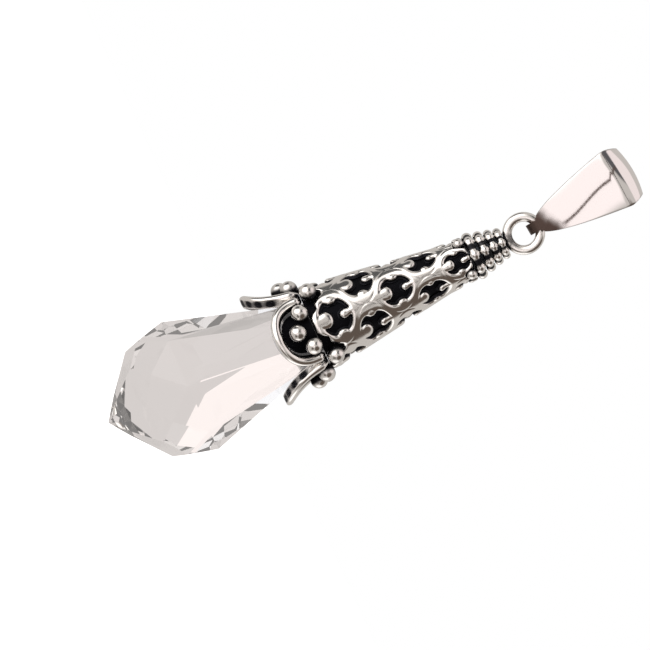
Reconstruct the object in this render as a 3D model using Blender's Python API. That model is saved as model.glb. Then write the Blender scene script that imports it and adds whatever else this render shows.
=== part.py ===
"""Crystal drop pendant: a faceted drop in a pierced silver cap, hung from a folded bail.

Frame: metres, +Z up, the pendant hangs along -Z and its front faces -Y.
The origin is the place inside the bail's top bend where the chain bears.
Heights named *_H are measured up the drop's own axis from the tip of the crystal.
"""

import math

import bmesh
import bpy
from mathutils import Vector

# ---- crystal drop ----
CRYSTAL_DIA = 0.0120            # across two opposite girdle corners
CRYSTAL_LENGTH = 0.0240         # tip to drilled end
CRYSTAL_SIDES = 8
# Corner rings: height as a share of the length, radius as a share of the diameter.
TIP_POINT = (0.0542, 0.1500)    # small pyramid at the tip
LOWER_GIRDLE = (0.1604, 0.4125)
MIDDLE_GIRDLE = 0.2188          # side corners of the girdle kites
UPPER_GIRDLE = 0.3229
SHOULDER = (0.7750, 0.2375)     # upper corners of the long facets
DRILLED_END = 0.1250
BORE_DIA = 0.00110
BORE_DEPTH = 0.0042

# ---- hidden setting: peg, cup and cement ----
PEG_DIA = 0.00090
PEG_SINK = 0.0038               # how far the peg reaches into the bore
CUP_WALL = 0.00025
CUP_END_WALL = 0.00070
CEMENT_DEPTH = 0.0030           # how far the cement reaches down beside the crystal
CEMENT_COVER = 0.00050          # cement above the drilled end

# ---- pierced cap ----
CAP_GRIP = 0.00434              # drilled end above the cap's lower border
CAP_CONE = 0.01184              # height of the cone
CAP_NECK = 0.00270              # height of the neck above the cone
CAP_FOOT_MARGIN = 0.00103       # foot radius outside the crystal's shoulder radius
CAP_NECK_R = 0.00212
CAP_TOP_R = 0.00203
CAP_WALL = 0.00050
PETAL_SIDES = ("front", "right", "back", "left")
FRONT_TURN = math.radians(-3.0) # the front column stands a little to the left
ROWS = 5
FIRST_ROW_UP = 0.00198          # lowest openings above the border
LAST_ROW_DOWN = 0.00116         # highest openings below the cap's top
OPENING_HALF_ANGLE = math.radians(30.0)
OPENING_HALF_HEIGHT = 0.00140
TOP_OPENING_HALF_HEIGHT = 0.00100
OPENING_POINTEDNESS = 1.2       # exponent of the pointed oval
TONGUE = 0.50                   # share of an opening's half height that a tongue closes
TONGUE_ANGLE = math.radians(24.0)
FOOT_NOTCH_ANGLE = math.radians(25.0)
TOP_NOTCH_ANGLE = math.radians(23.0)
TOP_NOTCH_HEIGHT = 0.00095

# ---- petals and granules ----
PETAL_ROOT_DOWN = 0.00016       # petal roots below the cap's border
FRONT_PETAL_LENGTH = 0.00358    # front and back petals
SIDE_PETAL_LENGTH = 0.00495     # the two side petals are longer
PETAL_PLATE = 0.00030
PLATE_START = math.radians(8.0) # the plate begins this far round its curved outline
PETAL_RIM_WIDTH = 0.00084       # across the rim, seen from outside
PETAL_RIM_DEPTH = 0.00110       # through the rim, towards the axis
PETAL_RIM_SEAT = 0.00002        # rim's inner side outside the cup, at the root
PETAL_FLARE = math.radians(8.0)
PETAL_SQUARENESS = 0.72         # exponent of the petal outline's height: below 1 the tip is flatter
CRYSTAL_CLEAR = 0.00008         # petals to crystal
GRANULE_DIA = 0.00152
SIDE_GRANULE_RISE = 0.00018     # top of a side granule above the petal's root
MIDDLE_GRANULE_DOWN = 0.00006   # top of the middle granule below the middles of the side ones
SIDE_GRANULE_CLEAR = 0.00004    # side granule to the rim beside it
ROOT_GRANULE_CLEAR = 0.00004    # granule between two petals, above their roots

# ---- beaded collar ----
BEADS_PER_RING = 8
BEAD_RINGS = 4
FIRST_BEAD_DIA = 0.00093
BEAD_SHRINK = 0.92              # each ring's beads against the ring below
FIRST_RING_R = 0.00168
RING_SHRINK = 0.86
BEAD_NECK = 0.62                # wire between two beads, as a share of the bead
NOTCH_BEAD_DIA = 0.00092
NOTCH_BEAD_DOWN = 0.00042       # its centre below the cap's top
COLLAR_TOP_DIA = 0.00126
COLLAR_TOP_SHARE = 0.6          # the core ends at this share of the last bead's radius

# ---- hanging ring ----
RING_WIRE = 0.00084
RING_HOLE = 0.00203
SOLDER_BEAD_DIA = 0.00044
SOLDER_BEAD_X = 0.00028
SOLDER_BEAD_Y = 0.00066

# ---- bail ----
BAIL_LENGTH = 0.01043           # outside of the narrow bend to outside of the top bend
BAIL_WIDTH = 0.00540
BAIL_STRIP = 0.00042
BAIL_NARROW_WIDTH = 0.00094     # where the strip passes through the ring
BAIL_NARROW_PAST = 0.00003      # strip stays narrow this far above the wire's middle
BAIL_RING_PLAY = 0.00013        # between the ring's wire and the narrow bend
BAIL_TOP_BORE = 0.00310         # inside width of the top bend
BAIL_CROWN = 0.00030            # how far the strip is domed at the top
BAIL_TOP_NARROWING = 0.00045
BAIL_WIDENING = 0.58            # exponent of the strip's widening
BAIL_EDGE = 0.60                # strip thickness at its edges, as a share
BAIL_ACROSS = (-1.0, -0.86, -0.45, 0.0, 0.45, 0.86, 1.0)
BAIL_LEAN = math.radians(6.0)   # the bail leans to -X of the drop

# ---- clearances and step counts ----
FIT = 0.00003                   # pieces that are soldered, cemented or pushed together
MERGE = 1e-7
CUTTER_IN = 0.6                 # opening cutters reach from this share of the inside radius
CUTTER_OUT = 1.3                # to this share of the outside radius
BORE_OVERSHOOT = 0.0005
TURN_STEPS = 32
CAP_STEPS = 40
COLLAR_STEPS = 24
BORE_STEPS = 16
PEG_STEPS = 12
OPENING_POINTS = 16
RIM_STEPS = 18
RIM_SIDES = 8
PLATE_ROWS = 8
PLATE_COLUMNS = 6
BALL_SEGMENTS = 10
BALL_RINGS = 6
STEPS_PER_BEAD = 5
BEAD_SIDES = 8
RING_STEPS = 28
RING_SIDES = 10
BAIL_NARROW_STEPS = 8
BAIL_LEG_STEPS = 6
BAIL_TOP_STEPS = 14


# ======== derived sizes ========

CRYSTAL_R = CRYSTAL_DIA / 2
TIP_POINT_H = CRYSTAL_LENGTH * TIP_POINT[0]
TIP_POINT_R = CRYSTAL_DIA * TIP_POINT[1]
LOWER_GIRDLE_H = CRYSTAL_LENGTH * LOWER_GIRDLE[0]
LOWER_GIRDLE_R = CRYSTAL_DIA * LOWER_GIRDLE[1]
MIDDLE_GIRDLE_H = CRYSTAL_LENGTH * MIDDLE_GIRDLE
UPPER_GIRDLE_H = CRYSTAL_LENGTH * UPPER_GIRDLE
SHOULDER_H = CRYSTAL_LENGTH * SHOULDER[0]
SHOULDER_R = CRYSTAL_DIA * SHOULDER[1]
DRILLED_END_R = CRYSTAL_DIA * DRILLED_END
CAP_FOOT_H = CRYSTAL_LENGTH - CAP_GRIP
CAP_NECK_H = CAP_FOOT_H + CAP_CONE
CAP_TOP_H = CAP_NECK_H + CAP_NECK
CAP_FOOT_R = SHOULDER_R + CAP_FOOT_MARGIN
COLUMNS = len(PETAL_SIDES)
FIRST_ROW_H = CAP_FOOT_H + FIRST_ROW_UP
ROW_PITCH = (CAP_TOP_H - LAST_ROW_DOWN - FIRST_ROW_H) / (ROWS - 1)
PETAL_ROOT_H = CAP_FOOT_H - PETAL_ROOT_DOWN
PETAL_RIM_ROOT_R = CAP_FOOT_R - CAP_WALL + PETAL_RIM_DEPTH / 2 + PETAL_RIM_SEAT
# the notch ends where the granule that stands in it passes the cap's outside
NOTCH_GRANULE_TOP = GRANULE_DIA / 2 + math.sqrt(CAP_WALL * (GRANULE_DIA - CAP_WALL))
FOOT_NOTCH_HEIGHT = NOTCH_GRANULE_TOP + ROOT_GRANULE_CLEAR - PETAL_ROOT_DOWN
NOTCH_BEAD_H = CAP_TOP_H - NOTCH_BEAD_DOWN
RING_R = (RING_HOLE + RING_WIRE) / 2
BAIL_INNER_BEND = RING_WIRE / 2 + BAIL_RING_PLAY
BAIL_BOTTOM = RING_R - BAIL_INNER_BEND - BAIL_STRIP
BAIL_TOP = BAIL_BOTTOM + BAIL_LENGTH
CHAIN_SEAT = BAIL_TOP - BAIL_STRIP
BAIL_DIRECTION = Vector((-math.sin(BAIL_LEAN), 0, math.cos(BAIL_LEAN)))
RING_CENTRE = -CHAIN_SEAT * BAIL_DIRECTION


def line(value, start, end, at_start, at_end):
    """Straight-line value between two stations, held beyond them."""
    share = min(1.0, max(0.0, (value - start) / (end - start)))
    return at_start + (at_end - at_start) * share


def cap_outer(height):
    if height < CAP_NECK_H:
        return line(height, CAP_FOOT_H, CAP_NECK_H, CAP_FOOT_R, CAP_NECK_R)
    return line(height, CAP_NECK_H, CAP_TOP_H, CAP_NECK_R, CAP_TOP_R)


def cap_inner(height):
    return cap_outer(height) - CAP_WALL


def crystal_radius(height):
    """Corner radius of the crystal above its girdle."""
    if height < SHOULDER_H:
        return line(height, UPPER_GIRDLE_H, SHOULDER_H, CRYSTAL_R, SHOULDER_R)
    return line(height, SHOULDER_H, CRYSTAL_LENGTH, SHOULDER_R, DRILLED_END_R)


def plate_outer(height):
    """The petal plates follow the cup, then flare to clear the crystal."""
    bed = cap_inner(CAP_FOOT_H) - FIT
    return max(bed, crystal_radius(height) + CRYSTAL_CLEAR + PETAL_PLATE)


def bead_sizes():
    """Radius, ring radius and height of each beaded ring, stacked on the cap."""
    rings = []
    height = CAP_TOP_H + FIT
    for index in range(BEAD_RINGS):
        bead = FIRST_BEAD_DIA / 2 * BEAD_SHRINK ** index
        height += bead
        rings.append((bead, FIRST_RING_R * RING_SHRINK ** index, height))
        height += bead + FIT
    return rings


def collar_top_h():
    bead, _, height = bead_sizes()[-1]
    return height + bead * COLLAR_TOP_SHARE


RING_H = collar_top_h() + FIT + RING_HOLE / 2 + RING_WIRE


# ======== materials ========

def material(name, colour, roughness, metallic, transmission=0.0):
    made = bpy.data.materials.new(name)
    made.use_nodes = True
    shader = made.node_tree.nodes["Principled BSDF"]
    shader.inputs["Base Color"].default_value = (*colour, 1.0)
    shader.inputs["Roughness"].default_value = roughness
    shader.inputs["Metallic"].default_value = metallic
    shader.inputs["Transmission Weight"].default_value = transmission
    made.diffuse_color = (*colour, 1.0)
    return made


def bright_silver():
    return material("bright_silver", (0.80, 0.78, 0.75), 0.15, 1.0)


def satin_silver():
    return material("satin_silver", (0.62, 0.61, 0.60), 0.30, 1.0)


def blackened_silver():
    return material("blackened_silver", (0.035, 0.034, 0.038), 0.45, 0.8)


def clear_crystal():
    return material("clear_crystal", (0.95, 0.95, 0.96), 0.02, 0.0, 1.0)


def cement():
    return material("cement", (0.20, 0.19, 0.18), 0.70, 0.0)


# ======== mesh helpers ========

def clear_scene():
    for item in list(bpy.data.objects):
        bpy.data.objects.remove(item, do_unlink=True)


def axis_empty(name, place, parent=None):
    empty = bpy.data.objects.new(name, None)
    empty.location = place
    empty.empty_display_size = 0.002
    empty.parent = parent
    bpy.context.collection.objects.link(empty)
    return empty


def finish(name, mesh_data, finish_material, parent, place=(0, 0, 0), smooth_angle=None):
    """Turn a bmesh into a named object with outward faces."""
    bmesh.ops.recalc_face_normals(mesh_data, faces=mesh_data.faces)
    mesh = bpy.data.meshes.new(name)
    mesh_data.to_mesh(mesh)
    mesh_data.free()
    if smooth_angle is not None:
        mesh.shade_smooth()
        mesh.set_sharp_from_angle(angle=math.radians(smooth_angle))
    mesh.materials.append(finish_material)
    made = bpy.data.objects.new(name, mesh)
    made.parent = parent
    made.location = place
    bpy.context.collection.objects.link(made)
    return made


def turned(profile, steps=TURN_STEPS):
    """Spin a closed outline of (radius, height) points round Z."""
    spun = bmesh.new()
    corners = [spun.verts.new((radius, 0, height)) for radius, height in profile]
    edges = [spun.edges.new((corners[i - 1], corners[i])) for i in range(len(corners))]
    bmesh.ops.spin(spun, geom=corners + edges, cent=(0, 0, 0), axis=(0, 0, 1),
                   angle=2 * math.pi, steps=steps, use_merge=True)
    bmesh.ops.remove_doubles(spun, verts=spun.verts, dist=MERGE)
    on_axis = [edge for edge in spun.edges if not edge.link_faces]
    bmesh.ops.delete(spun, geom=on_axis, context="EDGES")
    return spun


def loft(rings, closed_ends=True):
    """Join rings of points that have the same count; the rings close on themselves."""
    lofted = bmesh.new()
    rows = [[lofted.verts.new(point) for point in ring] for ring in rings]
    for lower, upper in zip(rows, rows[1:]):
        for i in range(len(lower)):
            lofted.faces.new((lower[i - 1], lower[i], upper[i], upper[i - 1]))
    if closed_ends:
        lofted.faces.new(rows[0])
        lofted.faces.new(rows[-1])
    return lofted


def on_cylinder(radius, angle, height):
    """Angle 0 is the front of the pendant, -Y, and it grows towards +X."""
    return Vector((radius * math.sin(angle), -radius * math.cos(angle), height))


def ball(name, diameter, place, finish_material, parent):
    bead = bmesh.new()
    bmesh.ops.create_uvsphere(bead, u_segments=BALL_SEGMENTS, v_segments=BALL_RINGS,
                              radius=diameter / 2)
    return finish(name, bead, finish_material, parent, place, 60)


# ======== crystal ========

def kite_corner_radius():
    """Radius at which the girdle kites are flat."""
    share = (MIDDLE_GIRDLE_H - LOWER_GIRDLE_H) / (UPPER_GIRDLE_H - LOWER_GIRDLE_H)
    across = LOWER_GIRDLE_R + (CRYSTAL_R - LOWER_GIRDLE_R) * share
    return across / math.cos(math.pi / CRYSTAL_SIDES)


def crystal_ring(cut, radius, height, half_step):
    step = 2 * math.pi / CRYSTAL_SIDES
    shift = step / 2 if half_step else 0.0
    return [cut.verts.new(on_cylinder(radius, i * step + shift, height))
            for i in range(CRYSTAL_SIDES)]


def crystal_drop(parent, glass, offset):
    cut = bmesh.new()
    tip = cut.verts.new((0, 0, 0))
    point = crystal_ring(cut, TIP_POINT_R, TIP_POINT_H, False)
    lower = crystal_ring(cut, LOWER_GIRDLE_R, LOWER_GIRDLE_H, False)
    middle = crystal_ring(cut, kite_corner_radius(), MIDDLE_GIRDLE_H, True)
    upper = crystal_ring(cut, CRYSTAL_R, UPPER_GIRDLE_H, False)
    shoulder = crystal_ring(cut, SHOULDER_R, SHOULDER_H, True)
    end = crystal_ring(cut, DRILLED_END_R, CRYSTAL_LENGTH, True)
    for i in range(CRYSTAL_SIDES):
        j = (i + 1) % CRYSTAL_SIDES
        cut.faces.new((tip, point[i], point[j]))
        cut.faces.new((point[i], lower[i], lower[j], point[j]))
        cut.faces.new((lower[i], middle[i], lower[j]))
        cut.faces.new((lower[i], middle[i - 1], upper[i], middle[i]))
        cut.faces.new((middle[i], upper[i], upper[j]))
        cut.faces.new((upper[i], shoulder[i], upper[j]))
        cut.faces.new((shoulder[i - 1], shoulder[i], upper[i]))
        cut.faces.new((shoulder[i], end[i], end[j], shoulder[j]))
    cut.faces.new(end)
    drop = finish("crystal_drop", cut, glass, parent, offset)
    cut_with(drop, bore_cutter(parent, offset))
    return drop


def bore_cutter(parent, offset):
    low = CRYSTAL_LENGTH - BORE_DEPTH
    high = CRYSTAL_LENGTH + BORE_OVERSHOOT
    radius = BORE_DIA / 2
    drill = turned([(0, low), (radius, low), (radius, high), (0, high)], BORE_STEPS)
    return as_cutter("crystal_bore_cutter", drill, parent, offset)


def as_cutter(name, cutter_mesh, parent, offset):
    cutter = finish(name, cutter_mesh, cement(), parent, offset)
    cutter.display_type = "WIRE"
    cutter.hide_render = True
    return cutter


def cut_with(target, cutter):
    cut = target.modifiers.new("cut", "BOOLEAN")
    cut.operation = "DIFFERENCE"
    cut.solver = "EXACT"
    cut.object = cutter


# ======== setting ========

def crystal_peg(parent, silver, offset):
    low = CRYSTAL_LENGTH - PEG_SINK
    high = CAP_TOP_H - 2 * FIT
    radius = PEG_DIA / 2
    wire = turned([(0, low), (radius, low), (radius, high), (0, high)], PEG_STEPS)
    return finish("crystal_peg", wire, silver, parent, offset, 30)


def inner_cup(parent, black, offset):
    """Blackened sleeve behind the openings; the peg is soldered into its end wall."""
    foot = PETAL_ROOT_H + FIT
    end = CAP_TOP_H - FIT
    inside_end = end - CUP_END_WALL
    hole = PEG_DIA / 2 + FIT
    outer = [(cap_inner(max(h, CAP_FOOT_H)) - FIT, h) for h in (foot, CAP_FOOT_H, CAP_NECK_H, end)]
    inner = [(cap_inner(max(h, CAP_FOOT_H)) - FIT - CUP_WALL, h)
             for h in (inside_end, CAP_NECK_H, CAP_FOOT_H, foot)]
    sleeve = turned(outer + [(hole, end), (hole, inside_end)] + inner)
    return finish("inner_cup", sleeve, black, parent, offset, 30)


def cement_plug(parent, grey, offset):
    """Cement between the crystal's end and the cup, pierced by the peg."""
    low = CRYSTAL_LENGTH - CEMENT_DEPTH
    high = CRYSTAL_LENGTH + CEMENT_COVER
    cover = CRYSTAL_LENGTH + FIT
    hole = PEG_DIA / 2 + FIT
    inside = crystal_radius(low) + FIT
    end = DRILLED_END_R + FIT
    clear = FIT + CUP_WALL + FIT
    profile = [(inside, low), (cap_inner(low) - clear, low), (cap_inner(high) - clear, high),
               (hole, high), (hole, cover), (end, cover)]
    return finish("cement_plug", turned(profile), grey, parent, offset, 30)


# ======== pierced cap ========

def opening_outline(centre_angle, centre_h, half_angle, half_height, tongue):
    """Pointed oval with a tongue reaching in from above and from below."""
    outline = []
    for i in range(OPENING_POINTS):
        turn = 2 * math.pi * i / OPENING_POINTS
        off_axis = min(abs(turn - math.pi / 2), abs(turn - 3 * math.pi / 2))
        reach = 1 - tongue * math.exp(-(off_axis / TONGUE_ANGLE) ** 2)
        across = math.copysign(abs(math.cos(turn)) ** OPENING_POINTEDNESS, math.cos(turn))
        up = math.copysign(abs(math.sin(turn)) ** OPENING_POINTEDNESS, math.sin(turn))
        outline.append((centre_angle + half_angle * across * reach,
                        centre_h + half_height * up * reach))
    return outline


def opening_cutter(outline):
    inside = [on_cylinder(cap_inner(h) * CUTTER_IN, angle, h) for angle, h in outline]
    outside = [on_cylinder(cap_outer(h) * CUTTER_OUT, angle, h) for angle, h in outline]
    return loft([inside, outside])


def add_into(target, part):
    """Copy one bmesh into another."""
    carrier = bpy.data.meshes.new("carrier")
    bmesh.ops.recalc_face_normals(part, faces=part.faces)
    part.to_mesh(carrier)
    part.free()
    target.from_mesh(carrier)
    bpy.data.meshes.remove(carrier)


def pierced_cap(parent, silver, offset):
    heights = [CAP_FOOT_H, CAP_NECK_H, CAP_TOP_H]
    profile = [(cap_outer(h), h) for h in heights]
    profile += [(cap_inner(h), h) for h in reversed(heights)]
    cap = finish("pierced_cap", turned(profile, CAP_STEPS), silver, parent, offset, 40)
    piercing = bmesh.new()
    step = 2 * math.pi / COLUMNS
    for column in range(COLUMNS):
        on_petal = FRONT_TURN + column * step
        between = on_petal + step / 2
        for row in range(ROWS):
            angle = between if row % 2 else on_petal
            height = FIRST_ROW_H + row * ROW_PITCH
            tall = TOP_OPENING_HALF_HEIGHT if row == ROWS - 1 else OPENING_HALF_HEIGHT
            outline = opening_outline(angle, height, OPENING_HALF_ANGLE, tall, TONGUE)
            add_into(piercing, opening_cutter(outline))
        foot = opening_outline(between, CAP_FOOT_H, FOOT_NOTCH_ANGLE, FOOT_NOTCH_HEIGHT, 0)
        add_into(piercing, opening_cutter(foot))
        top = opening_outline(between, CAP_TOP_H, TOP_NOTCH_ANGLE, TOP_NOTCH_HEIGHT, 0)
        add_into(piercing, opening_cutter(top))
    cut_with(cap, as_cutter("cap_piercing_cutter", piercing, parent, offset))
    return cap


# ======== petals ========

def rim_radius(height):
    """Radius of the rim wire's centre: it flares and stays clear of the crystal."""
    flared = PETAL_RIM_ROOT_R + (PETAL_ROOT_H - height) * math.tan(PETAL_FLARE)
    return max(flared, crystal_radius(height) + CRYSTAL_CLEAR + PETAL_RIM_DEPTH / 2)


def rim_half_angle():
    """Two neighbouring rims stand side by side at the petals' roots."""
    return math.pi / COLUMNS - math.asin((PETAL_RIM_WIDTH / 2 + FIT) / PETAL_RIM_ROOT_R)


def petal_height(depth, turn):
    """Height on a petal's outline; the turn runs from -90 degrees at one root to 90 at the other."""
    return PETAL_ROOT_H - depth * max(0.0, math.cos(turn)) ** PETAL_SQUARENESS


def rim_section(point, ahead):
    """Oval section, wider than deep, square to the direction ahead."""
    outward = Vector((point.x, point.y, 0)).normalized()
    across = ahead.cross(outward).normalized()
    outward = across.cross(ahead).normalized()
    turns = [2 * math.pi * k / RIM_SIDES for k in range(RIM_SIDES)]
    return [point + across * math.cos(turn) * PETAL_RIM_WIDTH / 2
            + outward * math.sin(turn) * PETAL_RIM_DEPTH / 2 for turn in turns]


def petal_rim(name, centre_angle, length, parent, silver, offset):
    depth = length - PETAL_RIM_WIDTH / 2
    path = []
    for i in range(RIM_STEPS + 1):
        turn = math.pi * (i / RIM_STEPS - 0.5)
        height = petal_height(depth, turn)
        angle = centre_angle + rim_half_angle() * math.sin(turn)
        path.append(on_cylinder(rim_radius(height), angle, height))
    rings = [rim_section(path[0], Vector((0, 0, -1)))]
    for i in range(1, RIM_STEPS):
        rings.append(rim_section(path[i], path[i + 1] - path[i - 1]))
    rings.append(rim_section(path[-1], Vector((0, 0, 1))))
    return finish(name, loft(rings), silver, parent, offset, 60)


def petal_plate(name, centre_angle, length, parent, black, offset):
    """Recessed blackened plate inside the rim."""
    depth = length - PETAL_RIM_WIDTH - FIT
    top_angle = rim_half_angle() - (PETAL_RIM_WIDTH / 2 + 2 * FIT) / PETAL_RIM_ROOT_R
    rings = []
    for i in range(PLATE_ROWS + 1):
        turn = line(i, 0, PLATE_ROWS, PLATE_START, math.pi / 2)
        height = petal_height(depth, turn) - FIT
        half = top_angle * math.sin(turn)
        outer = plate_outer(height)
        inner = outer - PETAL_PLATE
        angles = [centre_angle + half * (2 * k / PLATE_COLUMNS - 1) for k in range(PLATE_COLUMNS + 1)]
        ring = [on_cylinder(outer, angle, height) for angle in angles]
        ring += [on_cylinder(inner, angle, height) for angle in reversed(angles)]
        rings.append(ring)
    return finish(name, loft(rings), black, parent, offset, 40)


def granule_radius(height):
    """A granule sits on the petal plate, or on the cup above the petals' roots."""
    return max(plate_outer(height), cap_inner(CAP_FOOT_H)) + GRANULE_DIA / 2 + FIT


def side_granule_angle(height, length):
    """Beside the rim's leg, at that height, on a petal of that length."""
    depth = length - PETAL_RIM_WIDTH / 2
    drop = min(1.0, (PETAL_ROOT_H - height) / depth)
    turn = math.acos(drop ** (1 / PETAL_SQUARENESS))
    beside = (GRANULE_DIA + PETAL_RIM_WIDTH) / 2 + SIDE_GRANULE_CLEAR
    return rim_half_angle() * math.sin(turn) - math.asin(beside / granule_radius(height))


def granule(name, angle, height, parent, silver, offset):
    place = Vector(offset) + on_cylinder(granule_radius(height), angle, height)
    return ball(name, GRANULE_DIA, place, silver, parent)


def petals(parent, silver, black, offset):
    step = 2 * math.pi / COLUMNS
    for column, side in enumerate(PETAL_SIDES):
        angle = FRONT_TURN + column * step
        length = SIDE_PETAL_LENGTH if column % 2 else FRONT_PETAL_LENGTH
        petal_rim("petal_rim_" + side, angle, length, parent, silver, offset)
        petal_plate("petal_plate_" + side, angle, length, parent, black, offset)
        side_h = PETAL_ROOT_H + SIDE_GRANULE_RISE - GRANULE_DIA / 2
        middle_h = side_h - GRANULE_DIA / 2 - MIDDLE_GRANULE_DOWN
        granule("granule_" + side + "_middle", angle, middle_h, parent, silver, offset)
        aside = side_granule_angle(side_h, FRONT_PETAL_LENGTH)
        for hand, sign in (("a", -1), ("b", 1)):
            granule("granule_" + side + "_" + hand, angle + sign * aside, side_h,
                    parent, silver, offset)
        root_h = PETAL_ROOT_H + GRANULE_DIA / 2 + ROOT_GRANULE_CLEAR
        granule("granule_root_" + str(column), angle + step / 2, root_h, parent, silver, offset)


# ======== collar ========

def bead_ring(name, bead, radius, height, parent, silver, offset):
    """One ring of beaded wire: the wire swells to a bead at equal steps."""
    stations = BEADS_PER_RING * STEPS_PER_BEAD
    beaded = bmesh.new()
    rows = []
    for i in range(stations):
        angle = FRONT_TURN + 2 * math.pi * i / stations
        share = (i / STEPS_PER_BEAD + 0.5) % 1 - 0.5
        along = share * 2 * math.pi * radius / BEADS_PER_RING
        thick = max(math.sqrt(max(bead ** 2 - along ** 2, 0)), bead * BEAD_NECK)
        ring = []
        for k in range(BEAD_SIDES):
            turn = 2 * math.pi * k / BEAD_SIDES
            ring.append(beaded.verts.new(on_cylinder(radius + thick * math.cos(turn), angle,
                                                     height + thick * math.sin(turn))))
        rows.append(ring)
    for i in range(stations):
        for k in range(BEAD_SIDES):
            beaded.faces.new((rows[i - 1][k - 1], rows[i - 1][k], rows[i][k], rows[i][k - 1]))
    return finish(name, beaded, silver, parent, offset, 60)


def collar(parent, silver, satin, offset):
    rings = bead_sizes()
    for index, (bead, radius, height) in enumerate(rings):
        bead_ring("collar_bead_ring_" + str(index + 1), bead, radius, height,
                  parent, silver, offset)
    slope = [(radius - bead - FIT, height) for bead, radius, height in rings]
    low = CAP_TOP_H + FIT
    top = collar_top_h()
    profile = [(0, low), (slope[0][0], low)] + slope
    profile += [(min(slope[-1][0], COLLAR_TOP_DIA / 2), top), (0, top)]
    finish("collar_core", turned(profile, COLLAR_STEPS), satin, parent, offset, 30)
    step = 2 * math.pi / COLUMNS
    for column in range(COLUMNS):
        angle = FRONT_TURN + (column + 0.5) * step
        radius = cap_inner(NOTCH_BEAD_H) + NOTCH_BEAD_DIA / 2
        place = Vector(offset) + on_cylinder(radius, angle, NOTCH_BEAD_H)
        ball("collar_foot_bead_" + str(column), NOTCH_BEAD_DIA, place, silver, parent)


def solder_beads(parent, silver):
    """Tiny balls that cover the joint between the collar and the hanging ring."""
    rest = -(RING_H - collar_top_h()) + SOLDER_BEAD_DIA / 2 + FIT
    index = 0
    for y in (-SOLDER_BEAD_Y, SOLDER_BEAD_Y):
        for x in (-SOLDER_BEAD_X, SOLDER_BEAD_X):
            index += 1
            ball("solder_bead_" + str(index), SOLDER_BEAD_DIA, (x, y, rest), silver, parent)


# ======== hanging ring ========

def hanging_ring(parent, silver, place):
    ring = bmesh.new()
    section = []
    for k in range(RING_SIDES):
        turn = 2 * math.pi * k / RING_SIDES
        section.append(ring.verts.new((RING_R + RING_WIRE / 2 * math.cos(turn),
                                       RING_WIRE / 2 * math.sin(turn), 0)))
    edges = [ring.edges.new((section[k - 1], section[k])) for k in range(RING_SIDES)]
    bmesh.ops.spin(ring, geom=section + edges, cent=(0, 0, 0), axis=(0, 1, 0),
                   angle=2 * math.pi, steps=RING_STEPS, use_merge=True)
    bmesh.ops.remove_doubles(ring, verts=ring.verts, dist=MERGE)
    return finish("hanging_ring", ring, silver, parent, place, 60)


# ======== bail ========

def bail_path():
    """Closed centre line of the strip in its side view: point, outward normal, top share."""
    low_r = BAIL_INNER_BEND + BAIL_STRIP / 2
    high_r = BAIL_TOP_BORE / 2 + BAIL_STRIP / 2
    low_c = RING_R
    high_c = BAIL_TOP - BAIL_STRIP / 2 - high_r
    slant = math.asin((high_r - low_r) / (high_c - low_c))
    stations = []
    for i in range(BAIL_NARROW_STEPS + 1):
        turn = -math.pi / 2 + (math.pi - 2 * slant) * (i / BAIL_NARROW_STEPS - 0.5)
        normal = Vector((0, math.cos(turn), math.sin(turn)))
        stations.append((Vector((0, 0, low_c)) + normal * low_r, normal, 0.0))
    right = Vector((0, math.cos(-slant), math.sin(-slant)))
    start = Vector((0, 0, low_c)) + right * low_r
    end = Vector((0, 0, high_c)) + right * high_r
    for i in range(1, BAIL_LEG_STEPS):
        stations.append((start.lerp(end, i / BAIL_LEG_STEPS), right, 0.0))
    for i in range(BAIL_TOP_STEPS + 1):
        turn = -slant + (math.pi + 2 * slant) * i / BAIL_TOP_STEPS
        normal = Vector((0, math.cos(turn), math.sin(turn)))
        share = max(0.0, math.sin(turn))
        stations.append((Vector((0, 0, high_c)) + normal * high_r, normal, share))
    left = Vector((0, -right.y, right.z))
    start, end = Vector((0, -end.y, end.z)), Vector((0, -start.y, start.z))
    for i in range(1, BAIL_LEG_STEPS):
        stations.append((start.lerp(end, i / BAIL_LEG_STEPS), left, 0.0))
    return stations


def bail_half_width(height, top_share):
    begin = RING_R + BAIL_NARROW_PAST
    widest = BAIL_TOP - BAIL_TOP_BORE / 2
    share = line(height, begin, widest, 0, 1) ** BAIL_WIDENING
    half = (BAIL_NARROW_WIDTH + (BAIL_WIDTH - BAIL_NARROW_WIDTH) * share) / 2
    return half - BAIL_TOP_NARROWING * top_share ** 2


def bail(parent, silver, place):
    strip = bmesh.new()
    rows = []
    for centre, normal, top_share in bail_path():
        half = bail_half_width(centre.z, top_share)
        crown = BAIL_CROWN * line(centre.z, RING_R, BAIL_TOP, 0, 1)
        outer = []
        inner = []
        for share in BAIL_ACROSS:
            thick = BAIL_STRIP * (BAIL_EDGE if abs(share) == 1.0 else 1.0)
            middle = centre - normal * crown * share ** 2
            side = Vector((half * share, 0, 0))
            outer.append(strip.verts.new(middle + side + normal * thick / 2))
            inner.append(strip.verts.new(middle + side - normal * thick / 2))
        rows.append(outer + inner[::-1])
    count = len(rows[0])
    for i in range(len(rows)):
        for k in range(count):
            strip.faces.new((rows[i - 1][k - 1], rows[i - 1][k], rows[i][k], rows[i][k - 1]))
    made = finish("bail", strip, silver, parent, place, 35)
    made.rotation_euler = (0, -BAIL_LEAN, 0)
    return made


# ======== assembly ========

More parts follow.
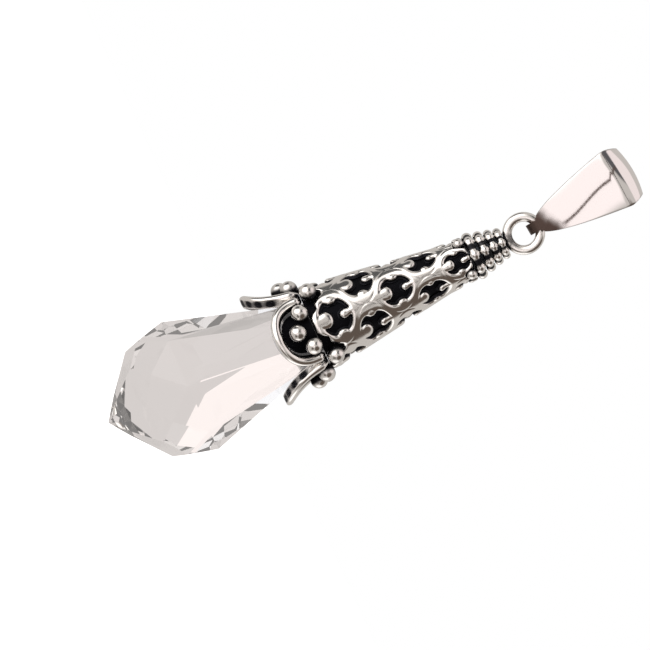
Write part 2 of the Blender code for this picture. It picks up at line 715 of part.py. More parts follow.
def build():
    clear_scene()
    silver = bright_silver()
    satin = satin_silver()
    black = blackened_silver()
    glass = clear_crystal()
    grey = cement()

    wire_top = RING_CENTRE + RING_R * BAIL_DIRECTION
    swing_axis = axis_empty("ring_swing_axis", wire_top)
    drop_axis = axis_empty("drop_slide_axis", RING_CENTRE - wire_top, swing_axis)
    offset = Vector((0, 0, -RING_H))

    crystal_drop(drop_axis, glass, offset)
    crystal_peg(drop_axis, satin, offset)
    cement_plug(drop_axis, grey, offset)
    inner_cup(drop_axis, black, offset)
    pierced_cap(drop_axis, silver, offset)
    petals(drop_axis, silver, black, offset)
    collar(drop_axis, silver, satin, offset)
    solder_beads(drop_axis, silver)
    hanging_ring(swing_axis, silver, RING_CENTRE - wire_top)
    bail(None, silver, RING_CENTRE)


build()
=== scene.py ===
import math

import bpy
import numpy as np
from mathutils import Matrix, Vector


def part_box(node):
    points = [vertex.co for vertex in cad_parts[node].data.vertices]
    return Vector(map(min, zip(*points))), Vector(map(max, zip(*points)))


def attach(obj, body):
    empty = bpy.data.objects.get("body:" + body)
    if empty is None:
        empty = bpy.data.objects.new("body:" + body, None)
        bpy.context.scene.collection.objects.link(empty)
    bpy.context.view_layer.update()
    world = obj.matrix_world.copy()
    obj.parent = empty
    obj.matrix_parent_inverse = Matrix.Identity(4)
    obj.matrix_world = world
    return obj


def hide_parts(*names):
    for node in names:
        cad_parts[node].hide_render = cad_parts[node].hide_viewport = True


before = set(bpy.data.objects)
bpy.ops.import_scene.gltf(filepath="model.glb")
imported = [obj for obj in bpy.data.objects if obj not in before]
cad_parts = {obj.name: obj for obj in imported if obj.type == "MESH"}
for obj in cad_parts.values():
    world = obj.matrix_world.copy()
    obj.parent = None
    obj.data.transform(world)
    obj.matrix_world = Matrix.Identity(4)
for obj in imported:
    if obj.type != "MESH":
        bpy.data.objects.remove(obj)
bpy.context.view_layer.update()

mm = 0.001
ringLow, ringHigh = (Vector(corner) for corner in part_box("hanging_ring"))
ringCentre = (ringLow + ringHigh) / 2
axisX = ringCentre.x
tipZ = Vector(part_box("crystal_drop")[0]).z  # every height below counts from the crystal's tip
columns = 4  # petals, and columns of openings
frontTurn = math.radians(-3.0)  # the front petal stands a little to the left
fit = 0.03 * mm  # between pieces that are soldered or pushed together


def deselectAll():
    if bpy.context.object and bpy.context.object.mode != "OBJECT":
        bpy.ops.object.mode_set(mode="OBJECT")
    bpy.ops.object.select_all(action="DESELECT")


def pick(piece):
    deselectAll()
    bpy.context.view_layer.objects.active = piece
    piece.select_set(True)


def lineBetween(value, start, end, atStart, atEnd):
    share = np.clip((value - start) / (end - start), 0, 1)
    return atStart + (atEnd - atStart) * share


def smoothStep(value, low, high):
    share = np.clip((value - low) / (high - low), 0, 1)
    return share * share * (3 - 2 * share)


def softLeast(one, other, blend):  # the smaller of two fields, with a rounded corner
    share = np.clip(0.5 + 0.5 * (other - one) / blend, 0, 1)
    return other * (1 - share) + one * share - blend * share * (1 - share)


def aroundDrop(radius, angle, height):  # a place round the drop's axis; angle 0 is the front
    return np.stack([axisX + radius * np.sin(angle), -radius * np.cos(angle),
                     tipZ + height + 0 * angle], axis=-1)


def readPlaces(piece):
    places = np.empty(len(piece.data.vertices) * 3)
    piece.data.vertices.foreach_get("co", places)
    return places.reshape(-1, 3)


def writePlaces(piece, places):
    piece.data.vertices.foreach_set("co", np.asarray(places, dtype=float).ravel())
    piece.data.update()


def writeTarnishAndShade(piece, values):  # 0 is rubbed bright, 1 is black; it holds real tarnish in hollows and also painted shade; the silver finishes read it
    mask = piece.data.attributes.new("tarnishAndShade", "FLOAT", "POINT")
    mask.data.foreach_set("value", np.clip(np.asarray(values, dtype=float), 0, 1).ravel())


def addGrid(name, across, along):  # gives the piece, and each vertex's two shares from 0 to 1
    deselectAll()
    bpy.ops.mesh.primitive_grid_add(x_subdivisions=across, y_subdivisions=along, size=1)
    piece = bpy.context.object
    piece.name = name
    flat = readPlaces(piece)
    return piece, flat[:, 0] + 0.5, flat[:, 1] + 0.5


def editMesh(piece, *steps):
    pick(piece)
    bpy.ops.object.mode_set(mode="EDIT")
    bpy.ops.mesh.select_all(action="SELECT")
    for step in steps:
        step()
    bpy.ops.object.mode_set(mode="OBJECT")


def mergeSeam():
    bpy.ops.mesh.remove_doubles(threshold=1e-6)


def faceOut():
    bpy.ops.mesh.normals_make_consistent(inside=False)


def dropLoose():
    bpy.ops.mesh.delete_loose()


def chooseFaces():
    bpy.ops.mesh.select_mode(type="FACE")
    bpy.ops.mesh.select_all(action="DESELECT")


def closeEnds():
    bpy.ops.mesh.select_all(action="DESELECT")
    bpy.ops.mesh.select_mode(type="EDGE")
    bpy.ops.mesh.select_non_manifold()
    bpy.ops.mesh.fill_holes(sides=0)
    bpy.ops.mesh.select_all(action="SELECT")


def deleteFaces(piece, wanted):
    editMesh(piece, chooseFaces)
    piece.data.polygons.foreach_set("select", wanted)
    bpy.ops.object.mode_set(mode="EDIT")
    bpy.ops.mesh.delete(type="FACE")
    bpy.ops.object.mode_set(mode="OBJECT")


def applyModifier(piece, kind, **settings):
    pick(piece)
    made = piece.modifiers.new(kind.lower(), kind)
    for key, value in settings.items():
        setattr(made, key, value)
    bpy.ops.object.modifier_apply(modifier=made.name)


def settle(piece):  # its place, turn and size go into the mesh
    pick(piece)
    bpy.ops.object.transform_apply(location=True, rotation=True, scale=True)


def finishPiece(piece, material, smoothBelow, body, cadNode):
    pick(piece)
    bpy.ops.object.shade_smooth_by_angle(angle=math.radians(smoothBelow))
    wear(piece, material)
    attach(piece, body)
    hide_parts(cadNode)


def wear(piece, material):
    piece.data.materials.clear()
    piece.data.materials.append(material)


def node(tree, kind, place, **inputs):
    made = tree.nodes.new(kind)
    made.location = place
    for key, value in inputs.items():
        made.inputs[key].default_value = value
    return made


def remap(tree, place, fromLow, fromHigh, toLow=0.0, toHigh=1.0, smooth=False):
    made = node(tree, "ShaderNodeMapRange", place)
    made.inputs["From Min"].default_value = fromLow
    made.inputs["From Max"].default_value = fromHigh
    made.inputs["To Min"].default_value = toLow
    made.inputs["To Max"].default_value = toHigh
    if smooth:
        made.interpolation_type = "SMOOTHSTEP"
    return made


def timesAndAdd(tree, place, factor):
    made = node(tree, "ShaderNodeMath", place)
    made.operation = "MULTIPLY_ADD"
    made.inputs[1].default_value = factor
    return made


silverWearAndShade = {
    "blotchScale": 900.0, "scratchScale": 5200.0, "dentScale": 520.0,  # per metre
    "blotch": 0.25,  # how far the blotches move the edge of the tarnish and painted shade
    "tarnishAndShadeGain": 1.25, "tarnishAndShadeFrom": 0.15, "tarnishAndShadeFull": 0.95,
    "tarnishAndShadeRough": 0.35, "scratchRough": 0.08, "scratchHeight": 0.12,
}


def silverWearAndShadeGroup():  # tarnish, painted shade and fine scratches, shared by every silver finish
    group = bpy.data.node_groups.new("silverWearAndShade", "ShaderNodeTree")
    for name, kind, value in (("TarnishAndShade", "NodeSocketFloat", 0.0),
                              ("Bright", "NodeSocketColor", (0.9, 0.88, 0.86, 1)),
                              ("Dark", "NodeSocketColor", (0.02, 0.02, 0.024, 1)),
                              ("Polish", "NodeSocketFloat", 0.1)):
        made = group.interface.new_socket(name, in_out="INPUT", socket_type=kind)
        made.default_value = value
    for name, kind in (("Color", "NodeSocketColor"), ("Roughness", "NodeSocketFloat"),
                       ("Height", "NodeSocketFloat")):
        group.interface.new_socket(name, in_out="OUTPUT", socket_type=kind)
    start = node(group, "NodeGroupInput", (-900, 0))
    end = node(group, "NodeGroupOutput", (700, 0))
    coord = node(group, "ShaderNodeTexCoord", (-1100, -300))
    blotch = node(group, "ShaderNodeTexNoise", (-600, 200), Scale=silverWearAndShade["blotchScale"], Detail=4.0)
    scratch = node(group, "ShaderNodeTexNoise", (-600, -100), Scale=silverWearAndShade["scratchScale"], Detail=3.0,
                   Roughness=0.7)
    dent = node(group, "ShaderNodeTexNoise", (-600, -400), Scale=silverWearAndShade["dentScale"], Detail=2.0)
    spread = remap(group, (-400, 200), 0.0, 1.0, -silverWearAndShade["blotch"], silverWearAndShade["blotch"])
    edge = timesAndAdd(group, (-200, 200), silverWearAndShade["tarnishAndShadeGain"])
    ramp = remap(group, (0, 200), silverWearAndShade["tarnishAndShadeFrom"], silverWearAndShade["tarnishAndShadeFull"], smooth=True)
    colour = node(group, "ShaderNodeMix", (300, 200))
    colour.data_type = "RGBA"
    rough = timesAndAdd(group, (300, -50), silverWearAndShade["tarnishAndShadeRough"])
    fine = timesAndAdd(group, (500, -50), silverWearAndShade["scratchRough"])
    height = timesAndAdd(group, (300, -350), silverWearAndShade["scratchHeight"])
    link = group.links.new
    for texture in (blotch, scratch, dent):
        link(coord.outputs["Object"], texture.inputs["Vector"])
    link(blotch.outputs["Fac"], spread.inputs["Value"])
    link(start.outputs["TarnishAndShade"], edge.inputs[0])
    link(spread.outputs["Result"], edge.inputs[2])
    link(edge.outputs[0], ramp.inputs["Value"])
    link(ramp.outputs["Result"], colour.inputs["Factor"])
    link(start.outputs["Bright"], colour.inputs[6])
    link(start.outputs["Dark"], colour.inputs[7])
    link(colour.outputs[2], end.inputs["Color"])
    link(ramp.outputs["Result"], rough.inputs[0])
    link(start.outputs["Polish"], rough.inputs[2])
    link(scratch.outputs["Fac"], fine.inputs[0])
    link(rough.outputs[0], fine.inputs[2])
    link(fine.outputs[0], end.inputs["Roughness"])
    link(scratch.outputs["Fac"], height.inputs[0])
    link(dent.outputs["Fac"], height.inputs[2])
    link(height.outputs[0], end.inputs["Height"])
    return group


silverFinishes = {  # bright colour, colour for tarnish and painted shade, roughness, relief, and a tarnish when it is even
    "brightSilver": ((0.93, 0.905, 0.875), (0.018, 0.018, 0.022), 0.12, 0.35, None),
    # its dark brown is painted shade, used on the bail's narrow end and edges
    "mirrorSilver": ((0.95, 0.915, 0.90), (0.10, 0.07, 0.06), 0.03, 0.12, None),
    "blackSilver": ((0.10, 0.10, 0.11), (0.012, 0.012, 0.015), 0.28, 0.8, 0.95),
    "smokySilver": ((0.55, 0.57, 0.60), (0.05, 0.056, 0.068), 0.22, 0.8, None),
    "pegSilver": ((0.8, 0.79, 0.78), (0.1, 0.1, 0.1), 0.2, 0.4, 0.2),
}
reliefDepth = 0.02 * mm


def newFinish(name):
    material = bpy.data.materials.new(name)
    material.use_nodes = True
    return material, material.node_tree, material.node_tree.nodes["Principled BSDF"]


def silverFinish(name, group):
    bright, dark, polish, relief, tarnishAndShade = silverFinishes[name]
    material, tree, shader = newFinish(name)
    shader.inputs["Metallic"].default_value = 1.0
    wearAndShade = node(tree, "ShaderNodeGroup", (-400, 0))
    wearAndShade.node_tree = group
    wearAndShade.inputs["Bright"].default_value = (*bright, 1)
    wearAndShade.inputs["Dark"].default_value = (*dark, 1)
    wearAndShade.inputs["Polish"].default_value = polish
    if tarnishAndShade is None:
        mask = node(tree, "ShaderNodeAttribute", (-700, 0))
        mask.attribute_name = "tarnishAndShade"
        tree.links.new(mask.outputs["Fac"], wearAndShade.inputs["TarnishAndShade"])
    else:
        wearAndShade.inputs["TarnishAndShade"].default_value = tarnishAndShade
    bump = node(tree, "ShaderNodeBump", (-200, -300), Strength=relief, Distance=reliefDepth)
    tree.links.new(wearAndShade.outputs["Color"], shader.inputs["Base Color"])
    tree.links.new(wearAndShade.outputs["Roughness"], shader.inputs["Roughness"])
    tree.links.new(wearAndShade.outputs["Height"], bump.inputs["Height"])
    tree.links.new(bump.outputs["Normal"], shader.inputs["Normal"])
    return material


crystalLook = {"ior": 1.36, "colour": (0.985, 0.975, 0.970, 1), "hazeScale": 300.0, "hazeRough": 0.04,
               "glow": 0.03, "glowColour": (1.0, 0.96, 0.94, 1)}


def crystalFinish():
    material, tree, shader = newFinish("clearCrystal")
    shader.inputs["Transmission Weight"].default_value = 1.0
    shader.inputs["IOR"].default_value = crystalLook["ior"]
    shader.inputs["Base Color"].default_value = crystalLook["colour"]
    shader.inputs["Emission Color"].default_value = crystalLook["glowColour"]
    shader.inputs["Emission Strength"].default_value = crystalLook["glow"]  # painted glow that lightens the crystal's dark facets
    coord = node(tree, "ShaderNodeTexCoord", (-800, 0))
    haze = node(tree, "ShaderNodeTexNoise", (-600, 0), Scale=crystalLook["hazeScale"], Detail=3.0)
    spread = remap(tree, (-350, 0), 0.55, 0.80, 0.0, crystalLook["hazeRough"])
    tree.links.new(coord.outputs["Object"], haze.inputs["Vector"])
    tree.links.new(haze.outputs["Fac"], spread.inputs["Value"])
    tree.links.new(spread.outputs["Result"], shader.inputs["Roughness"])
    return material


cementLook = {"colour": (0.55, 0.53, 0.51, 1), "grainScale": 4000.0, "smoothest": 0.55, "roughest": 0.8}


def cementFinish():
    material, tree, shader = newFinish("settingCement")
    coord = node(tree, "ShaderNodeTexCoord", (-800, 0))
    grain = node(tree, "ShaderNodeTexNoise", (-600, 0), Scale=cementLook["grainScale"], Detail=5.0)
    ramp = remap(tree, (-350, 0), 0.0, 1.0, cementLook["smoothest"], cementLook["roughest"])
    bump = node(tree, "ShaderNodeBump", (-200, -300), Strength=0.4, Distance=0.03 * mm)
    tree.links.new(coord.outputs["Object"], grain.inputs["Vector"])
    tree.links.new(grain.outputs["Fac"], ramp.inputs["Value"])
    tree.links.new(ramp.outputs["Result"], shader.inputs["Roughness"])
    tree.links.new(grain.outputs["Fac"], bump.inputs["Height"])
    tree.links.new(bump.outputs["Normal"], shader.inputs["Normal"])
    shader.inputs["Base Color"].default_value = cementLook["colour"]
    return material


capShape = {
    "footH": 19.66 * mm, "neckH": 31.50 * mm, "topH": 34.20 * mm,
    "footR": 3.88 * mm, "neckR": 2.12 * mm, "topR": 2.03 * mm, "wall": 0.44 * mm,
    "firstRow": 21.64 * mm, "rowPitch": 2.85 * mm, "rows": 5,
    "openAcross": 0.60, "openUp": 0.49, "lastOpenUp": 0.72,  # shares of a cell; the last row is lower
    "openSharpness": 1.55, "openEdge": 0.85, "ogee": 0.80,
    "ribbonRelief": 0.26 * mm, "ribbonRound": 0.38, "wallSlope": 0.12,
    "grooveWidth": 0.06, "grooveDepth": 0.14, "grooveShade": 0.30, "crossingDip": 0.08,
    "aroundSteps": 296, "upSteps": 176,
}
tongueShape = {  # the tongues that reach into an opening, in millimetres at the cap's foot
    "fullCell": 2.8, "smallest": 0.62,  # they shrink with the cell, down to this share
    "topBall": 0.40, "topStem": 0.34, "topUp": 0.56, "topStemUp": 0.60, "topAside": 0.06,
    "footBall": 0.60, "footStem": 0.62, "footDown": 0.64, "footStemDown": 0.62, "footAside": 0.05,
    "sideBall": 0.42, "sideOut": 0.62, "sideUp": 0.05, "flat": 0.80,
}
capEdges = {"lowest": 19.62 * mm, "scallop": 0.80 * mm, "rootNotch": 0.85 * mm, "topNotch": 0.85 * mm}


def capOuter(height):
    cone = lineBetween(height, capShape["footH"], capShape["neckH"], capShape["footR"], capShape["neckR"])
    neck = lineBetween(height, capShape["neckH"], capShape["topH"], capShape["neckR"], capShape["topR"])
    return np.where(height < capShape["neckH"], cone, neck)


def tongues(x, y, half, cellWide):  # millimetres outside the nearest tongue
    shape = tongueShape
    size = np.clip(cellWide / shape["fullCell"], shape["smallest"], 1.0)
    top = np.hypot(x - shape["topAside"], y - half * shape["topUp"]) - shape["topBall"] * size
    topStem = np.maximum(np.abs(x) - shape["topStem"] * size, half * shape["topStemUp"] - y)
    foot = np.hypot(x * shape["flat"] + shape["footAside"], y + half * shape["footDown"])
    foot = foot - shape["footBall"] * size
    footStem = np.maximum(np.abs(x) - shape["footStem"] * size, y + half * shape["footStemDown"])
    side = np.hypot(np.abs(x) - cellWide * shape["sideOut"], y * shape["flat"] - shape["sideUp"])
    side = side - shape["sideBall"] * size
    upright = softLeast(softLeast(top, topStem, 0.16), softLeast(foot, footStem, 0.2), 0.1)
    return softLeast(upright, side, 0.2)


# gives, in millimetres, how far inside an opening and how far from the ribbon's groove a place is,
# and how near it is to where four ribbons cross
def capFields(angle, height):
    across = (angle - frontTurn) / (math.pi / columns)
    up = (height - capShape["firstRow"]) / capShape["rowPitch"]
    eased = up - capShape["ogee"] * np.sin(2 * math.pi * up) / (2 * math.pi)
    diagonalA = (across + eased) / 2
    diagonalB = (across - eased) / 2
    cellA = np.round(diagonalA)
    cellB = np.round(diagonalB)
    cellRow = cellA - cellB
    offAcross = across - (cellA + cellB)
    cellWide = capOuter(height) * math.pi / columns / mm
    cellTall = capShape["rowPitch"] / mm
    lastOpenUp = capShape["openUp"] * capShape["lastOpenUp"]
    tall = np.where(cellRow >= capShape["rows"] - 1, lastOpenUp, capShape["openUp"])
    power = capShape["openSharpness"]
    reachAcross = np.abs(offAcross / capShape["openAcross"]) ** power
    reachUp = np.abs((eased - cellRow) / tall) ** power
    scale = np.minimum(cellWide * capShape["openAcross"], cellTall * tall) * capShape["openEdge"]
    opening = (1 - (reachAcross + reachUp) ** (1 / power)) * scale
    nearTongue = tongues(offAcross * cellWide, (up - cellRow) * cellTall, tall * cellTall, cellWide)
    opening = softLeast(opening, nearTongue, 0.12)
    noRow = (cellRow < 0) | (cellRow > capShape["rows"] - 1)
    opening = np.where(noRow, -1.0, opening)
    sideA = 0.5 - np.abs(diagonalA - cellA)
    sideB = 0.5 - np.abs(diagonalB - cellB)
    slopeLength = cellWide * cellTall / np.hypot(cellWide, cellTall)
    groove = np.minimum(sideA, sideB) * 2 * slopeLength
    crossing = smoothStep(np.maximum(sideA, sideB), 0.12, 0.30)
    return opening, groove, crossing


def capBorder(angle, height):  # millimetres inside the scalloped foot and the notched top
    across = (angle - frontTurn) / (math.pi / columns)
    off = np.abs(across - 2 * np.round(across / 2))  # 0 over a petal, 1 between two petals
    scallop = capEdges["scallop"] * smoothStep(off, 0.24, 0.52)
    notch = capEdges["rootNotch"] * smoothStep(off, 0.66, 0.95)
    low = capEdges["lowest"] + scallop + notch
    high = capShape["topH"] - capEdges["topNotch"] * smoothStep(off, 0.55, 0.9)
    return np.minimum(height - low, high - height) / mm


def piercedCap(silver):
    piece, around, up = addGrid("piercedCapFine", capShape["aroundSteps"], capShape["upSteps"])
    angle = around * 2 * math.pi
    bottom = capShape["footH"] - 0.14 * mm
    height = bottom + up * (capShape["topH"] - bottom)
    writePlaces(piece, aroundDrop(capOuter(height), angle, height))
    slope = capShape["wallSlope"]
    deep = np.maximum(capFields(angle, height)[0] - slope, -capBorder(angle, height) - 0.05)
    corners = np.empty(len(piece.data.loops), dtype=int)
    piece.data.loops.foreach_get("vertex_index", corners)
    deleteFaces(piece, deep[corners.reshape(-1, 4)].min(axis=1) > 0)
    editMesh(piece, mergeSeam, dropLoose, faceOut)
    outerCount = len(piece.data.vertices)
    applyModifier(piece, "SOLIDIFY", thickness=capShape["wall"], offset=-1.0)
    places = readPlaces(piece)
    outer = np.arange(len(places)) < outerCount  # the wall's inner side comes after these
    x = places[:, 0] - axisX
    angle = np.arctan2(x, -places[:, 1])
    height = places[:, 2] - tipZ
    opening, groove, crossing = capFields(angle, height)
    edge = softLeast(-opening, capBorder(angle, height), 0.1)
    rounded = np.clip((edge + slope * 0.4) / (capShape["ribbonRound"] + slope * 0.4), 0, 1)
    inGroove = np.exp(-(groove / capShape["grooveWidth"]) ** 2) * (1 - crossing)
    relief = np.sqrt(np.clip(1 - (1 - rounded) ** 2, 0, 1)) - capShape["grooveDepth"] * inGroove
    relief = relief - capShape["crossingDip"] * crossing * smoothStep(0.42 - groove, 0, 0.42)
    drop = capShape["ribbonRelief"] * (1 - np.clip(relief, 0, 1))
    wallLeft = capShape["wall"] - 0.02 * mm - capShape["ribbonRelief"]
    drop = drop + wallLeft * smoothStep(-edge, -0.03, slope)  # the openings' walls slope inwards
    radius = np.hypot(x, places[:, 1]) - np.where(outer, drop, 0)
    writePlaces(piece, aroundDrop(radius, angle, height))
    # the openings' walls and the wall's inside are black with tarnish; the groove beside each ribbon is
    # darkened as painted shade
    lowPart = np.maximum(1 - smoothStep(edge, -0.05, 0.05), capShape["grooveShade"] * inGroove)
    writeTarnishAndShade(piece, np.where(outer, lowPart, 1.0))
    finishPiece(piece, silver, 55, "drop", "pierced_cap")
    print("pierced cap made,", len(piece.data.polygons), "faces")


cupShape = {
    "fit": 0.53 * mm, "wall": 0.25 * mm,  # fit counts from the cap's outside
    "beltH": (25 * mm, 28 * mm),
    "topHoleR": 0.48 * mm, "topPlate": 0.7 * mm, "underTopR": 1.2 * mm,
}


def innerCup(black):
    foot = petalShape["rootH"] + fit
    end = capShape["topH"] - fit
    stations = (foot, capShape["footH"], *cupShape["beltH"], capShape["neckH"], end)
    outer = [(float(capOuter(max(at, capShape["footH"]))) - cupShape["fit"], at) for at in stations]
    inner = [(radius - cupShape["wall"], at) for radius, at in reversed(outer[:-1])]
    under = end - cupShape["topPlate"]
    top = [(cupShape["topHoleR"], end), (cupShape["topHoleR"], under), (cupShape["underTopR"], under)]
    profile = np.array(outer + top + inner + outer[:1])
    cup, around, along = addGrid("innerCupFine", 96, len(profile) - 1)
    row = np.round(along * (len(profile) - 1)).astype(int)
    radii, heights = profile[row].T
    writePlaces(cup, aroundDrop(radii, around * 2 * math.pi, heights))
    editMesh(cup, mergeSeam, faceOut)
    writeTarnishAndShade(cup, np.ones(len(cup.data.vertices)))
    finishPiece(cup, black, 30, "drop", "inner_cup")
    print("inner cup made")


crystalShape = {"widestH": 7.75 * mm, "widestR": 6.0 * mm, "shoulderH": 18.60 * mm, "shoulderR": 2.85 * mm}
petalShape = {
    "sides": ("front", "right", "back", "left"),
    "rootH": 19.50 * mm, "frontLength": 3.58 * mm, "sideLength": 4.95 * mm,
    "rimWidth": 0.84 * mm, "rimDepth": 1.10 * mm, "rimRootR": 3.95 * mm, "flare": math.radians(8.0),
    "plate": 0.28 * mm, "plateOut": 0.30 * mm, "bedIn": 0.53 * mm, "plateUnderRim": 0.10 * mm,
    "crystalClear": 0.08 * mm, "square": 0.72,  # below 1 the tip is flatter
    "hammer": 0.02 * mm, "slitDepth": 0.22, "slitWindows": 22,
}
granuleShape = {
    "diameter": 1.52 * mm, "middleH": 18.10 * mm, "sideH": 18.92 * mm,
    "sideAngle": math.radians(21.27), "rootH": 20.30 * mm, "seatIn": 0.50 * mm,
    "solderFoot": 0.30, "uneven": 0.012, "tarnishAndShade": 0.22,
}


def crystalRadius(height):
    return lineBetween(height, crystalShape["widestH"], crystalShape["shoulderH"],
                       crystalShape["widestR"], crystalShape["shoulderR"])


def rimRadius(height):
    flared = petalShape["rimRootR"] + (petalShape["rootH"] - height) * math.tan(petalShape["flare"])
    return np.maximum(flared, crystalRadius(height) + petalShape["crystalClear"] + petalShape["rimDepth"] / 2)


def rimHalfAngle():
    return math.pi / columns - math.asin((petalShape["rimWidth"] / 2 + fit) / petalShape["rimRootR"])


def plateOuter(height):
    bed = capShape["footR"] - petalShape["bedIn"]
    return np.maximum(bed, crystalRadius(height) + petalShape["crystalClear"] + petalShape["plateOut"])


def rimPath(turn, centreAngle, length):  # turn runs from -90 to 90 degrees along the U
    depth = length - petalShape["rimWidth"] / 2
    low = depth * np.cos(np.clip(turn, -math.pi / 2, math.pi / 2)) ** petalShape["square"]
    height = petalShape["rootH"] - low
    return aroundDrop(rimRadius(height), centreAngle + rimHalfAngle() * np.sin(turn), height)


def unit(vectors):
    return vectors / np.linalg.norm(vectors, axis=1, keepdims=True)


def petalRim(side, centreAngle, length, slit, silver):  # slit is 1 where the rim has small dark windows
    piece, along, around = addGrid("petalRimFine_" + side, 84, 28)
    turn = (along - 0.5) * math.pi
    centre = rimPath(turn, centreAngle, length)
    ahead = unit(rimPath(turn + 0.01, centreAngle, length) - rimPath(turn - 0.01, centreAngle, length))
    fromAxis = centre - np.array([axisX, 0, 0])
    fromAxis[:, 2] = 0
    beside = unit(np.cross(ahead, unit(fromAxis)))
    outward = np.cross(beside, ahead)
    sine, cosine = np.sin(around * 2 * math.pi), np.cos(around * 2 * math.pi)
    fromEnd = 0.5 - np.abs(along - 0.5)
    windows = 0.5 + 0.5 * np.cos(turn * petalShape["slitWindows"])
    openSide = slit * np.exp(-((cosine - 1) / 0.22) ** 2) * smoothStep(fromEnd, 0.04, 0.12)
    fullness = 0.25 + 0.75 * smoothStep(fromEnd, 0.0, 0.02)
    slitCut = 1 - (petalShape["slitDepth"] + 0.10 * windows) * openSide
    halfWide = petalShape["rimWidth"] / 2 * fullness * slitCut
    halfDeep = petalShape["rimDepth"] / 2 * fullness
    rounded = np.sign(sine) * np.abs(sine) ** 0.8
    writePlaces(piece, centre + beside * (halfWide * cosine)[:, None] + outward * (halfDeep * rounded)[:, None])
    # painted shade: darker on the rim's inner edge beside the plate and on its back face
    inner = 0.85 * smoothStep(-cosine, 0.80, 1.0) * smoothStep(0.45 - sine, 0, 0.4)
    under = 0.5 * smoothStep(-sine, 0.75, 0.98)
    writeTarnishAndShade(piece, np.maximum.reduce([openSide * (0.55 + 0.4 * windows), inner, under]))
    editMesh(piece, mergeSeam, closeEnds, faceOut)
    finishPiece(piece, silver, 60, "drop", "petal_rim_" + side)


def petalPlate(side, centreAngle, length, black):
    piece, around, up = addGrid("petalPlateFine_" + side, 28, 28)
    depth = length - petalShape["rimWidth"] - fit
    covered = petalShape["rimWidth"] / 2 - petalShape["plateUnderRim"]
    halfAngle = rimHalfAngle() - covered / petalShape["rimRootR"]
    turn = math.radians(3) + up * math.radians(87)
    height = petalShape["rootH"] - depth * np.cos(turn) ** petalShape["square"]
    angle = centreAngle + halfAngle * np.sin(turn) * (2 * around - 1)
    hammered = petalShape["hammer"] * np.sin(angle * 61) * np.sin(height / mm * 9.0)
    writePlaces(piece, aroundDrop(plateOuter(height) + hammered, angle, height))
    editMesh(piece, faceOut)
    applyModifier(piece, "SOLIDIFY", thickness=petalShape["plate"], offset=-1.0)
    finishPiece(piece, black, 50, "drop", "petal_plate_" + side)


# a melted ball of silver, round on top, with a small solder foot towards its seat
def ballOnSeat(name, place, outward, radius, silver, cadNode, segments=28):
    deselectAll()
    bpy.ops.mesh.primitive_uv_sphere_add(segments=segments, ring_count=segments // 2, radius=radius)
    piece = bpy.context.object
    piece.name = name
    local = readPlaces(piece) / radius
    turn = Vector((0, 0, 1)).rotation_difference(Vector(outward).normalized()).to_matrix()
    low = smoothStep(-local[:, 2], 0.45, 1.0) * np.sqrt(np.clip(1 - local[:, 2] ** 2, 0, 1))
    local[:, 0:2] *= (1 + granuleShape["solderFoot"] * low)[:, None]
    wave = np.sin(local[:, 0:1] * 5 + place[0] * 9e3) * np.cos(local[:, 1:2] * 4)
    local *= 1 + granuleShape["uneven"] * wave
    writePlaces(piece, local @ np.array(turn).T * radius + np.array(place))
    # painted shade: darker towards the seat the ball sits on, over a slightly darker base
    seat = smoothStep(-local[:, 2], -0.62, 0.25)
    writeTarnishAndShade(piece, granuleShape["tarnishAndShade"] + (1 - granuleShape["tarnishAndShade"]) * seat)
    finishPiece(piece, silver, 60, "drop", cadNode)


def granuleAt(label, angle, height, silver):
    radius = granuleShape["diameter"] / 2
    seat = max(float(plateOuter(np.array(height))), capShape["footR"] - granuleShape["seatIn"])
    place = aroundDrop(seat + radius + fit, np.array(angle), height)
    outward = (math.sin(angle), -math.cos(angle), 0)
    ballOnSeat("granuleFine_" + label, place, outward, radius, silver, "granule_" + label)


def petals(silver, black):
    for column, side in enumerate(petalShape["sides"]):
        angle = frontTurn + column * 2 * math.pi / columns
        onSide = column % 2
        length = petalShape["sideLength"] if onSide else petalShape["frontLength"]
        petalRim(side, angle, length, onSide, silver)
        petalPlate(side, angle, length, black)
        granuleAt(side + "_middle", angle, granuleShape["middleH"], silver)
        for hand, sign in (("a", -1), ("b", 1)):
            aside = sign * granuleShape["sideAngle"]
            granuleAt(side + "_" + hand, angle + aside, granuleShape["sideH"], silver)
        granuleAt("root_" + str(column), angle + math.pi / columns, granuleShape["rootH"], silver)
        print("petal made,", side)


collarShape = {
    "beads": 8, "rings": 4, "firstBead": 0.465 * mm, "beadShrink": 0.92,
    "firstRingR": 1.68 * mm, "ringShrink": 0.86, "neck": 0.72,  # wire between two beads against the bead
    "shoulderR": 0.63 * mm, "topR": 0.56 * mm, "coreTarnish": 0.62,
    "footBeadR": 0.46 * mm, "footBeadOut": 2.00 * mm, "footBeadH": 33.78 * mm,
    "solderBeads": 4, "solderBeadR": 0.22 * mm,
}


def beadSizes():
    sizes = []
    height = capShape["topH"] + fit
    for index in range(collarShape["rings"]):
        bead = collarShape["firstBead"] * collarShape["beadShrink"] ** index
        height += bead
        sizes.append((bead, collarShape["firstRingR"] * collarShape["ringShrink"] ** index, height))
        height += bead + fit
    return sizes


